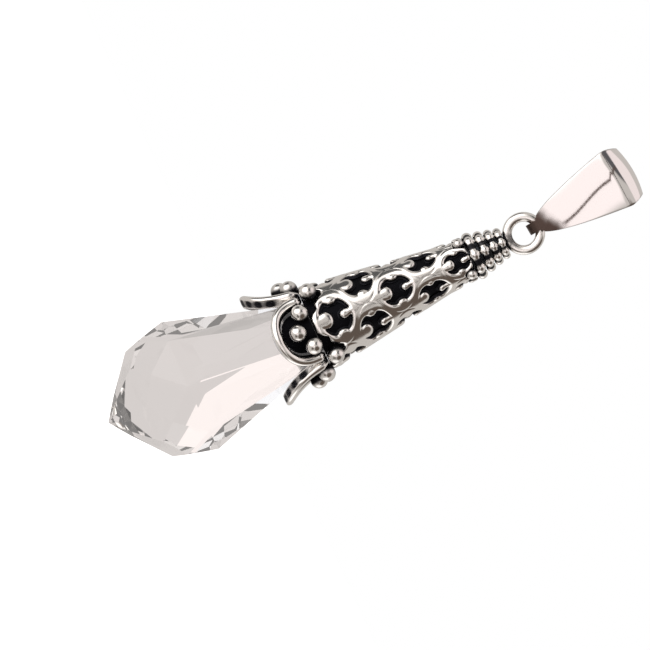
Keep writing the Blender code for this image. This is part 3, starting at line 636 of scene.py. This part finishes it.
def beadRing(number, bead, radius, height, silver):
    beads = collarShape["beads"]
    piece, along, around = addGrid("beadRingFine_" + str(number), beads * 16, 20)
    share = (along * beads + 0.5) % 1 - 0.5
    run = np.clip(np.abs(share * 2 * math.pi * radius / beads) / bead, 0, 1)
    thick = np.maximum(np.sqrt(1 - run ** 2), collarShape["neck"]) * bead
    spin = around * 2 * math.pi
    angle = frontTurn + along * 2 * math.pi
    writePlaces(piece, aroundDrop(radius + thick * np.cos(spin), angle, height + thick * np.sin(spin)))
    # painted shade: darker in the necks between beads and on the ring's inner side towards the core
    joint = 0.75 * smoothStep(run, 0.66, 1.0)
    inner = smoothStep(-np.cos(spin), -0.05, 0.6)
    writeTarnishAndShade(piece, np.maximum(joint, inner))
    editMesh(piece, mergeSeam, faceOut)
    finishPiece(piece, silver, 60, "drop", "collar_bead_ring_" + str(number))


def turnedPiece(name, profile, sides):  # a circle drawn up through a list of radius and height
    deselectAll()
    radius, height = profile[0]
    bpy.ops.mesh.primitive_circle_add(vertices=sides, radius=radius, location=(axisX, 0, tipZ + height))
    piece = bpy.context.object
    piece.name = name
    bpy.ops.object.mode_set(mode="EDIT")
    bpy.ops.mesh.select_all(action="SELECT")
    for nextRadius, nextHeight in profile[1:]:
        bpy.ops.mesh.extrude_region_move(TRANSFORM_OT_translate={"value": (0, 0, nextHeight - height)})
        share = nextRadius / radius
        bpy.ops.transform.resize(value=(share, share, 1), center_override=(axisX, 0, tipZ + nextHeight))
        radius, height = nextRadius, nextHeight
    closeEnds()
    faceOut()
    settle(piece)
    return piece


def collar(silver, smoky):
    sizes = beadSizes()
    for index, (bead, radius, height) in enumerate(sizes):
        beadRing(index + 1, bead, radius, height, silver)
    profile = [(sizes[0][1] - sizes[0][0] - fit, capShape["topH"] + fit)]
    profile += [(radius - bead - fit, height) for bead, radius, height in sizes]
    lastBead, _, lastHeight = sizes[-1]
    profile.append((collarShape["shoulderR"], lastHeight + lastBead * 0.5))
    profile.append((collarShape["topR"], lastHeight + lastBead * 0.6))
    core = turnedPiece("collarCoreFine", profile, 64)
    writeTarnishAndShade(core, np.full(len(core.data.vertices), collarShape["coreTarnish"]))
    finishPiece(core, smoky, 50, "drop", "collar_core")
    for column in range(columns):
        angle = frontTurn + (column + 0.5) * 2 * math.pi / columns
        place = aroundDrop(collarShape["footBeadOut"], np.array(angle), collarShape["footBeadH"])
        ballOnSeat("collarFootBeadFine_" + str(column), place, (math.sin(angle), -math.cos(angle), 0),
                   collarShape["footBeadR"], silver, "collar_foot_bead_" + str(column))
    for number in range(1, collarShape["solderBeads"] + 1):
        low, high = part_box("solder_bead_" + str(number))
        ballOnSeat("solderBeadFine_" + str(number), (Vector(low) + Vector(high)) / 2, (0, 0, 1),
                   collarShape["solderBeadR"], silver, "solder_bead_" + str(number), 20)
    print("collar made,", len(sizes), "bead rings")


ringShape = {"radius": 1.435 * mm, "wire": 0.42 * mm, "rubbedFlat": 0.05, "uneven": 0.004,
             "seamTarnish": 0.5, "jointShade": 0.55, "innerShade": 0.35}


def hangingRing(silver):
    deselectAll()
    bpy.ops.mesh.primitive_torus_add(major_segments=112, minor_segments=28, major_radius=ringShape["radius"],
                                     minor_radius=ringShape["wire"], location=ringCentre,
                                     rotation=(math.pi / 2, 0, 0))
    piece = bpy.context.object
    piece.name = "hangingRingFine"
    settle(piece)
    off = readPlaces(piece) - np.array(ringCentre)
    around = np.arctan2(off[:, 0], -off[:, 2])  # 0 at the solder joint
    reach = np.hypot(off[:, 0], off[:, 2])
    flattened = ringShape["rubbedFlat"] * smoothStep(np.abs(off[:, 1]), 0.30 * mm, ringShape["wire"])
    off[:, 1] *= 1 - flattened + ringShape["uneven"] * np.sin(around * 5)
    writePlaces(piece, off + np.array(ringCentre))
    # the solder seam is a dark joint; the broad darkening near the joint and on the inner side is painted shade
    seam = ringShape["seamTarnish"] * np.exp(-(around / 0.10) ** 2)
    joint = ringShape["jointShade"] * smoothStep(0.75 - np.abs(around), 0.0, 0.55)
    inner = ringShape["innerShade"] * smoothStep(ringShape["radius"] - reach, 0.28 * mm, ringShape["wire"])
    writeTarnishAndShade(piece, np.maximum.reduce([seam, joint, inner]))
    finishPiece(piece, silver, 60, "ring", "hanging_ring")
    print("hanging ring made")


bailShape = {
    "length": 10.43 * mm, "width": 5.40 * mm, "strip": 0.42 * mm, "narrow": 0.94 * mm,
    "narrowLength": 1.00 * mm, "play": 0.13 * mm, "topBore": 3.10 * mm, "crown": 0.30 * mm,
    "topNarrowing": 0.45 * mm, "widening": 0.58, "wander": 0.28, "lean": math.radians(6.0),
    "edgeBevel": 0.10 * mm, "footShade": 0.85, "edgeShade": 0.42,
}
bailLowRadius = ringShape["wire"] + bailShape["play"] + bailShape["strip"] / 2  # of the strip's centre line
bailHighRadius = bailShape["topBore"] / 2 + bailShape["strip"] / 2
bailLowCentre = ringShape["radius"]  # heights of the bail count from the ring's centre
bailBottom = bailLowCentre - bailLowRadius - bailShape["strip"] / 2
bailTop = bailBottom + bailShape["length"]
bailHighCentre = bailTop - bailShape["strip"] / 2 - bailHighRadius


# follows the folded strip round its narrow bend, up a leg, over the top bend and down the other leg;
# gives its centre line, its outward normal and how near the place is to the top
def bailPath(share):
    growth = bailHighRadius - bailLowRadius
    span = bailHighCentre - bailLowCentre
    slant = math.asin(growth / span)
    lowArc = (math.pi - 2 * slant) * bailLowRadius
    highArc = (math.pi + 2 * slant) * bailHighRadius
    leg = math.sqrt(span ** 2 - growth ** 2)
    run = share * (lowArc + highArc + 2 * leg)
    legY, legZ = math.cos(-slant), math.sin(-slant)
    lowTurn = -math.pi + slant + run / bailLowRadius
    highTurn = -slant + (run - lowArc - leg) / bailHighRadius
    going = (run - lowArc) / leg
    coming = 1 - (run - lowArc - leg - highArc) / leg

    def legOut(part):
        return (bailLowRadius + growth * part) * legY

    def legUp(part):
        return bailLowCentre + bailLowRadius * legZ + part * (span + growth * legZ)

    zones = [run < lowArc, run < lowArc + leg, run < lowArc + leg + highArc]
    y = np.select(zones, [bailLowRadius * np.cos(lowTurn), legOut(going),
                          bailHighRadius * np.cos(highTurn)], -legOut(coming))
    z = np.select(zones, [bailLowCentre + bailLowRadius * np.sin(lowTurn), legUp(going),
                          bailHighCentre + bailHighRadius * np.sin(highTurn)], legUp(coming))
    normalY = np.select(zones, [np.cos(lowTurn), legY, np.cos(highTurn)], -legY)
    normalZ = np.select(zones, [np.sin(lowTurn), legZ, np.sin(highTurn)], legZ)
    nearTop = np.where(zones[2] & ~zones[1], np.clip(np.sin(highTurn), 0, 1), 0)
    return y, z, normalY, normalZ, nearTop


def bail(silver):
    piece, across, along = addGrid("bailFine", 28, 240)
    y, z, normalY, normalZ, nearTop = bailPath(along)
    widest = bailTop - bailShape["topBore"] / 2
    share = lineBetween(z, bailBottom + bailShape["narrowLength"], widest, 0, 1) ** bailShape["widening"]
    half = (bailShape["narrow"] + (bailShape["width"] - bailShape["narrow"]) * share) / 2
    half = half - bailShape["topNarrowing"] * nearTop ** 2
    side = 2 * across - 1
    rise = np.clip((z - bailBottom) / (bailTop - bailBottom), 0, 1)
    crest = bailShape["wander"] * np.sin(2 * math.pi * rise) * (1 - nearTop)  # finished by hand, not quite even
    hollow = (side - crest) ** 2 - crest ** 2
    lift = bailShape["strip"] / 2 - bailShape["crown"] * lineBetween(z, bailLowCentre, bailTop, 0, 1) * hollow
    x = half * side
    high = z + normalZ * lift
    lean = bailShape["lean"]
    leantX = ringCentre.x + x * math.cos(lean) - high * math.sin(lean)
    leantZ = ringCentre.z + x * math.sin(lean) + high * math.cos(lean)
    writePlaces(piece, np.stack([leantX, y + normalY * lift, leantZ], axis=-1))
    # painted shade: darker at the narrow end and along both edges
    foot = bailShape["footShade"] * (1 - smoothStep(z - bailBottom - 0.45 * x, 1.0 * mm, 3.4 * mm))
    edges = bailShape["edgeShade"] * smoothStep(np.abs(side), 0.90, 1.0)
    writeTarnishAndShade(piece, np.maximum(foot, edges))
    editMesh(piece, mergeSeam, faceOut)
    applyModifier(piece, "SOLIDIFY", thickness=bailShape["strip"], offset=-1.0)
    applyModifier(piece, "BEVEL", width=bailShape["edgeBevel"], segments=3, limit_method="ANGLE",
                  angle_limit=math.radians(50))
    finishPiece(piece, silver, 40, "bail", "bail")
    print("bail made")


cameraPlace = {"frameWidth": 56.034 * mm, "distance": 0.40, "roll": math.radians(24.5),
               "aimH": 20.5 * mm, "aimRight": 0.08 * mm, "sensor": 36.0}


def camera():
    data = bpy.data.cameras.new("camera")
    holder = bpy.data.objects.new("camera", data)
    bpy.context.collection.objects.link(holder)
    bpy.context.scene.camera = holder
    data.sensor_width = cameraPlace["sensor"]
    data.lens = cameraPlace["sensor"] * cameraPlace["distance"] / cameraPlace["frameWidth"]
    data.clip_start = 0.01
    data.clip_end = 20
    cosine, sine = math.cos(cameraPlace["roll"]), math.sin(cameraPlace["roll"])
    right = Vector((sine, 0, cosine))
    upward = Vector((-cosine, 0, sine))
    back = Vector((0, -1, 0))
    aim = Vector((axisX + cameraPlace["aimRight"], 0, tipZ + cameraPlace["aimH"]))
    turn = Matrix((right, upward, back)).transposed().to_4x4()
    holder.matrix_world = Matrix.Translation(aim + back * cameraPlace["distance"]) @ turn
    print("camera placed")


# a card: direction, cosine of its half width, soft edge and colour
tent = {
    "silverWall": (0.56, 0.535, 0.51), "crystalWall": (0.62, 0.585, 0.57),
    "rippleScale": 2.2, "ripple": 0.20,  # bends the cards' edges, as on hand-finished metal
    "silverCards": (
        ((-0.70, -0.66, -0.26), 0.86, 0.14, (1.75, 1.70, 1.66)),  # key softbox
        ((0.06, -0.98, -0.20), 0.955, 0.03, (1.06, 0.98, 0.97)),  # pale wall in front of the pendant
        ((0.80, -0.52, 0.30), 0.885, 0.08, (0.11, 0.085, 0.07)),  # dark flags
        ((0.44, -0.70, -0.56), 0.965, 0.03, (0.14, 0.12, 0.105)),
        ((-0.25, -0.62, 0.74), 0.95, 0.04, (0.10, 0.10, 0.105)),
        ((-0.97, 0.05, 0.10), 0.94, 0.04, (0.10, 0.10, 0.10)),
        ((0.86, 0.20, -0.46), 0.92, 0.05, (1.25, 1.22, 1.20)),  # white cards
        ((0.05, -0.20, 0.98), 0.90, 0.04, (0.88, 0.80, 0.79)),
    ),
    "crystalCards": (  # seen by rays that leave the crystal
        ((0.0, 0.75, -0.66), 0.80, 0.25, (0.64, 0.60, 0.585)),
        ((-0.46, 0.84, -0.28), 0.930, 0.006, (0.98, 0.90, 0.875)),  # through the long facets
        ((0.62, 0.70, -0.36), 0.975, 0.006, (0.50, 0.475, 0.46)),
        ((0.15, -0.60, -0.78), 0.90, 0.02, (0.92, 0.93, 0.96)),
        ((-0.30, 0.20, 0.93), 0.93, 0.02, (0.45, 0.42, 0.40)),
        ((0.80, 0.10, 0.60), 0.94, 0.02, (0.88, 0.86, 0.86)),
        ((-0.10, 0.60, -0.80), 0.985, 0.006, (0.42, 0.41, 0.42)),
        ((-0.05, 0.66, -0.75), 0.9990, 0.0004, (0.50, 0.66, 0.98)),  # blue glints
        ((0.34, 0.90, 0.26), 0.9994, 0.0003, (0.55, 0.70, 0.98)),
        ((-0.62, 0.76, 0.16), 0.9996, 0.0002, (0.92, 0.56, 0.32)),  # orange glints
        ((0.70, 0.70, 0.10), 0.9992, 0.0004, (0.90, 0.56, 0.34)),
    ),
    "silverStrips": (  # a thin strip: its plane's normal, offset, half width, the side it is on, colour
        ((1.0, 0.0, 0.22), 0.02, 0.018, (0.0, -1.0, 0.0), (0.10, 0.07, 0.06)),
        ((0.45, 0.0, 1.0), 0.30, 0.022, (0.0, -1.0, 0.0), (0.08, 0.07, 0.07)),
    ),
}


def vectorMath(tree, place, operation, value=None):
    made = node(tree, "ShaderNodeVectorMath", place)
    made.operation = operation
    if value is not None:
        made.inputs[1].default_value = value
    return made


def rippledDirection(tree):
    link = tree.links.new
    coord = node(tree, "ShaderNodeTexCoord", (-1200, 0))
    ripple = node(tree, "ShaderNodeTexNoise", (-1000, 300), Scale=tent["rippleScale"], Detail=1.0)
    centred = vectorMath(tree, (-900, 300), "SUBTRACT", (0.5, 0.5, 0.5))
    added = vectorMath(tree, (-800, 200), "MULTIPLY_ADD", (tent["ripple"],) * 3)
    shifted = vectorMath(tree, (-700, 200), "NORMALIZE")
    link(coord.outputs["Generated"], ripple.inputs["Vector"])
    link(ripple.outputs["Color"], centred.inputs[0])
    link(centred.outputs[0], added.inputs[0])
    link(coord.outputs["Generated"], added.inputs[2])
    link(added.outputs[0], shifted.inputs[0])
    return shifted.outputs[0]


def towards(tree, direction, vector, place):  # 1 straight towards the vector, -1 away from it
    dot = vectorMath(tree, place, "DOT_PRODUCT", Vector(vector).normalized())
    tree.links.new(direction, dot.inputs[0])
    return dot.outputs["Value"]


def cover(tree, below, share, colour, place):
    mixed = node(tree, "ShaderNodeMix", place)
    mixed.data_type = "RGBA"
    mixed.clamp_result = False
    mixed.inputs[7].default_value = (*colour, 1)
    tree.links.new(share, mixed.inputs["Factor"])
    if isinstance(below, tuple):
        mixed.inputs[6].default_value = (*below, 1)
    else:
        tree.links.new(below, mixed.inputs[6])
    return mixed.outputs[2]


def paintTent(tree, direction, wall, cards, strips, top):  # a plain wall with cards and thin strips on it
    link = tree.links.new
    last = wall
    for index, (facing, size, edge, colour) in enumerate(cards):
        row = top - 200 * index
        ramp = remap(tree, (-450, row), size - edge, size + edge * 0.3, smooth=True)
        link(towards(tree, direction, facing, (-650, row)), ramp.inputs["Value"])
        last = cover(tree, last, ramp.outputs["Result"], colour, (-100 + 60 * index, row))
    for index, (normal, offset, half, facing, colour) in enumerate(strips):
        row = top - 200 * (index + len(cards))
        near = node(tree, "ShaderNodeMath", (-450, row))
        near.operation = "COMPARE"
        near.inputs[1].default_value = offset
        near.inputs[2].default_value = half
        link(towards(tree, direction, normal, (-650, row)), near.inputs[0])
        side = remap(tree, (-450, row - 100), 0.55, 0.75)
        link(towards(tree, direction, facing, (-650, row - 100)), side.inputs["Value"])
        both = node(tree, "ShaderNodeMath", (-250, row))
        both.operation = "MULTIPLY"
        link(near.outputs[0], both.inputs[0])
        link(side.outputs["Result"], both.inputs[1])
        last = cover(tree, last, both.outputs[0], colour, (500 + 100 * index, row))
    return last


def studioWorld():
    world = bpy.data.worlds.new("lightTent")
    bpy.context.scene.world = world
    world.use_nodes = True
    tree = world.node_tree
    tree.nodes.clear()
    link = tree.links.new
    direction = rippledDirection(tree)
    metal = node(tree, "ShaderNodeBackground", (1100, 0), Strength=1.0)
    link(paintTent(tree, direction, tent["silverWall"], tent["silverCards"], tent["silverStrips"], 0),
         metal.inputs["Color"])
    clear = node(tree, "ShaderNodeBackground", (1100, -200), Strength=1.0)
    link(paintTent(tree, direction, tent["crystalWall"], tent["crystalCards"], (), -3000),
         clear.inputs["Color"])
    white = node(tree, "ShaderNodeBackground", (1100, -400), Color=(1, 1, 1, 1), Strength=1.0)
    path = node(tree, "ShaderNodeLightPath", (900, 400))
    shown = metal.outputs[0]
    for rays, over, place in (("Is Transmission Ray", clear, (1300, 0)), ("Is Camera Ray", white, (1500, 0))):
        choose = node(tree, "ShaderNodeMixShader", place)
        link(path.outputs[rays], choose.inputs[0])
        link(shown, choose.inputs[1])
        link(over.outputs[0], choose.inputs[2])
        shown = choose.outputs[0]
    link(shown, node(tree, "ShaderNodeOutputWorld", (1700, 0)).inputs["Surface"])
    print("light tent made,", len(tree.nodes), "nodes")


floorShape = {"radius": 0.9, "below": 4 * mm, "colour": (0.95, 0.95, 0.95, 1), "rough": 0.9, "glow": 0.9}


def floor():
    deselectAll()
    bpy.ops.mesh.primitive_circle_add(vertices=96, radius=floorShape["radius"], fill_type="NGON",
                                      location=(0, 0, tipZ - floorShape["below"]))
    made = bpy.context.object
    made.name = "paleFloor"
    settle(made)
    material, tree, shader = newFinish("paleFloor")
    shader.inputs["Base Color"].default_value = floorShape["colour"]
    shader.inputs["Roughness"].default_value = floorShape["rough"]
    shader.inputs["Emission Color"].default_value = (1, 1, 1, 1)
    shader.inputs["Emission Strength"].default_value = floorShape["glow"]
    path = node(tree, "ShaderNodeLightPath", (-300, 300))
    tree.links.new(path.outputs["Is Camera Ray"], shader.inputs["Alpha"])  # the tent goes on below the floor
    made.data.materials.append(material)
    print("floor made")


lamps = {  # place, size and power
    "keyAboveLeft": ((-0.22, -0.28, 0.12), 0.10, 0.5),
    "fillRight": ((0.26, -0.16, -0.02), 0.08, 0.2),
}


def softLights():
    for name, (place, size, power) in lamps.items():
        data = bpy.data.lights.new(name, "AREA")
        data.shape = "DISK"
        data.size = size
        data.energy = power
        lamp = bpy.data.objects.new(name, data)
        bpy.context.collection.objects.link(lamp)
        lamp.location = place
        lamp.visible_glossy = False
        lamp.visible_transmission = False
        aim = Vector((axisX, 0, tipZ + 22 * mm)) - Vector(place)
        lamp.rotation_euler = aim.to_track_quat("-Z", "Y").to_euler()
    print("lamps placed,", len(lamps))


bpy.context.scene.view_settings.view_transform = "Standard"
camera()
studioWorld()
floor()
softLights()

wearAndShadeGroup = silverWearAndShadeGroup()
silvers = {name: silverFinish(name, wearAndShadeGroup) for name in silverFinishes}
print("silver finishes made,", len(silvers))

piercedCap(silvers["brightSilver"])
innerCup(silvers["blackSilver"])
petals(silvers["brightSilver"], silvers["blackSilver"])
collar(silvers["brightSilver"], silvers["smokySilver"])
hangingRing(silvers["brightSilver"])
bail(silvers["mirrorSilver"])

wear(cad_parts["crystal_drop"], crystalFinish())
wear(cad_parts["cement_plug"], cementFinish())
wear(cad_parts["crystal_peg"], silvers["pegSilver"])
print("crystal, cement and peg finished")
